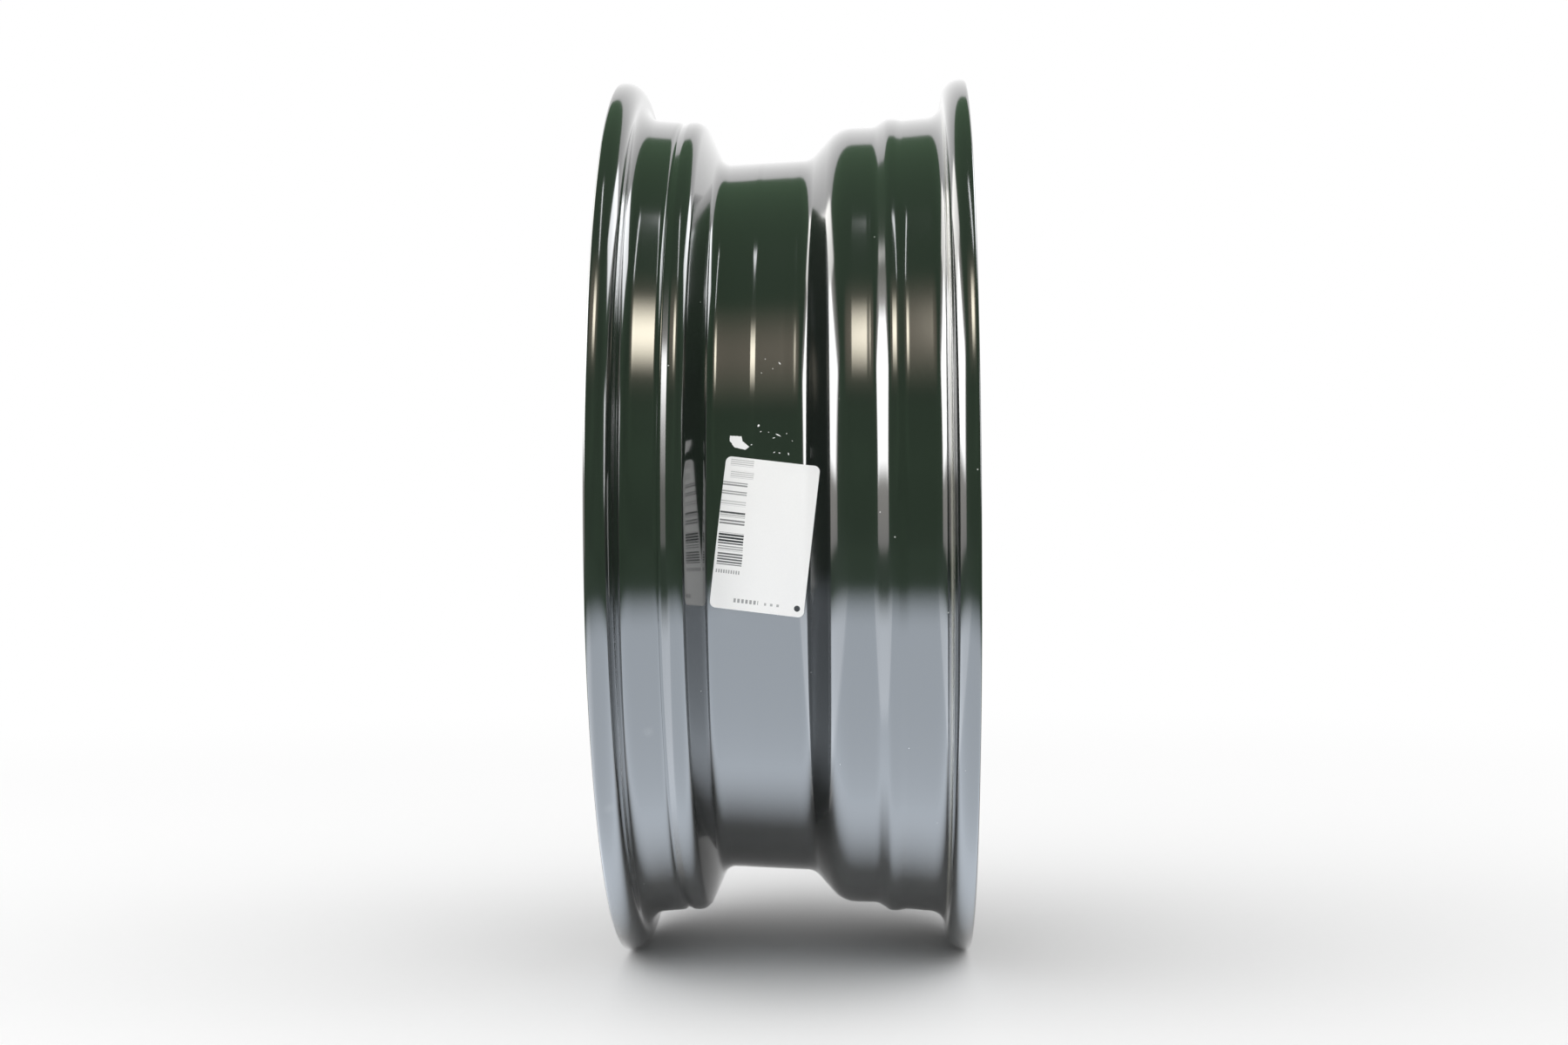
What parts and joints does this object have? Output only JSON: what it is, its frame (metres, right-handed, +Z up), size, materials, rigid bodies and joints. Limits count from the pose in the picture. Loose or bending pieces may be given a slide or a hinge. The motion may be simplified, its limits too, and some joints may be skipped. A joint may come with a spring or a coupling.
{
  "type": "wheel rim",
  "caption": "Pressed steel road wheel rim with a curled-flange hoop, drop centre, vented disc, hub bore and bolt holes, painted gloss black, with a paper label.",
  "frame": {"origin": "centre of the wheel: on the spin axis, halfway between the tyre faces of the two flanges", "axes": "+Y along the spin axis and pointing inboard, towards the car; -Y is the side seen on a parked car; +Z up, +X towards the camera"},
  "size_m": [0.4148, 0.162, 0.4148],
  "materials": {
    "black_enamel": "gloss black enamel over pressed steel",
    "white_paper": "matt white label paper"
  },
  "bodies": {
    "root": {"rim_hoop": "black_enamel", "wheel_disc": "black_enamel", "disc_welds": "black_enamel", "paper_label": "white_paper", "label_scrap": "white_paper"}
  },
  "joints": []
}
